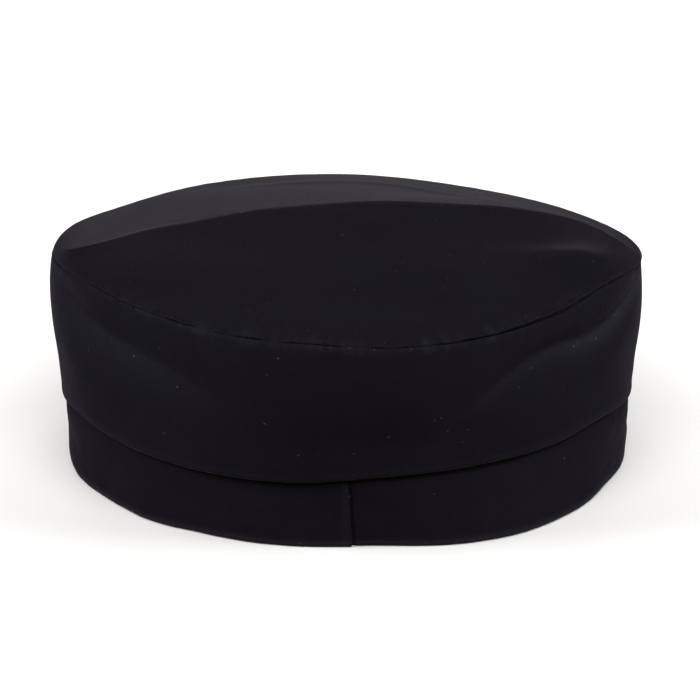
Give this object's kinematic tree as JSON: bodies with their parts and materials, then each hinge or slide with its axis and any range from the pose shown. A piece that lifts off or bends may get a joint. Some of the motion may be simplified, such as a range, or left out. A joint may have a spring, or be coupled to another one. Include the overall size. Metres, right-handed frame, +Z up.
{
  "type": "flat cap",
  "caption": "Soft cloth flat cap: a puffed crown with a ridged top panel over a plain headband, and a short covered peak. Hollow for the head.",
  "frame": {"origin": "middle of the cap's plan box, on the surface that the rim of the headband stands on", "axes": "+Z up; -Y is the front, where the peak is; +X is the wearer's left"},
  "size_m": [0.1906, 0.2654, 0.0801],
  "materials": {
    "crown_cloth": "matt brushed cotton twill, navy black, with a faint nap"
  },
  "bodies": {
    "root": {"band": "crown_cloth", "crown_side": "crown_cloth", "crown_top": "crown_cloth", "peak": "crown_cloth"}
  },
  "joints": []
}
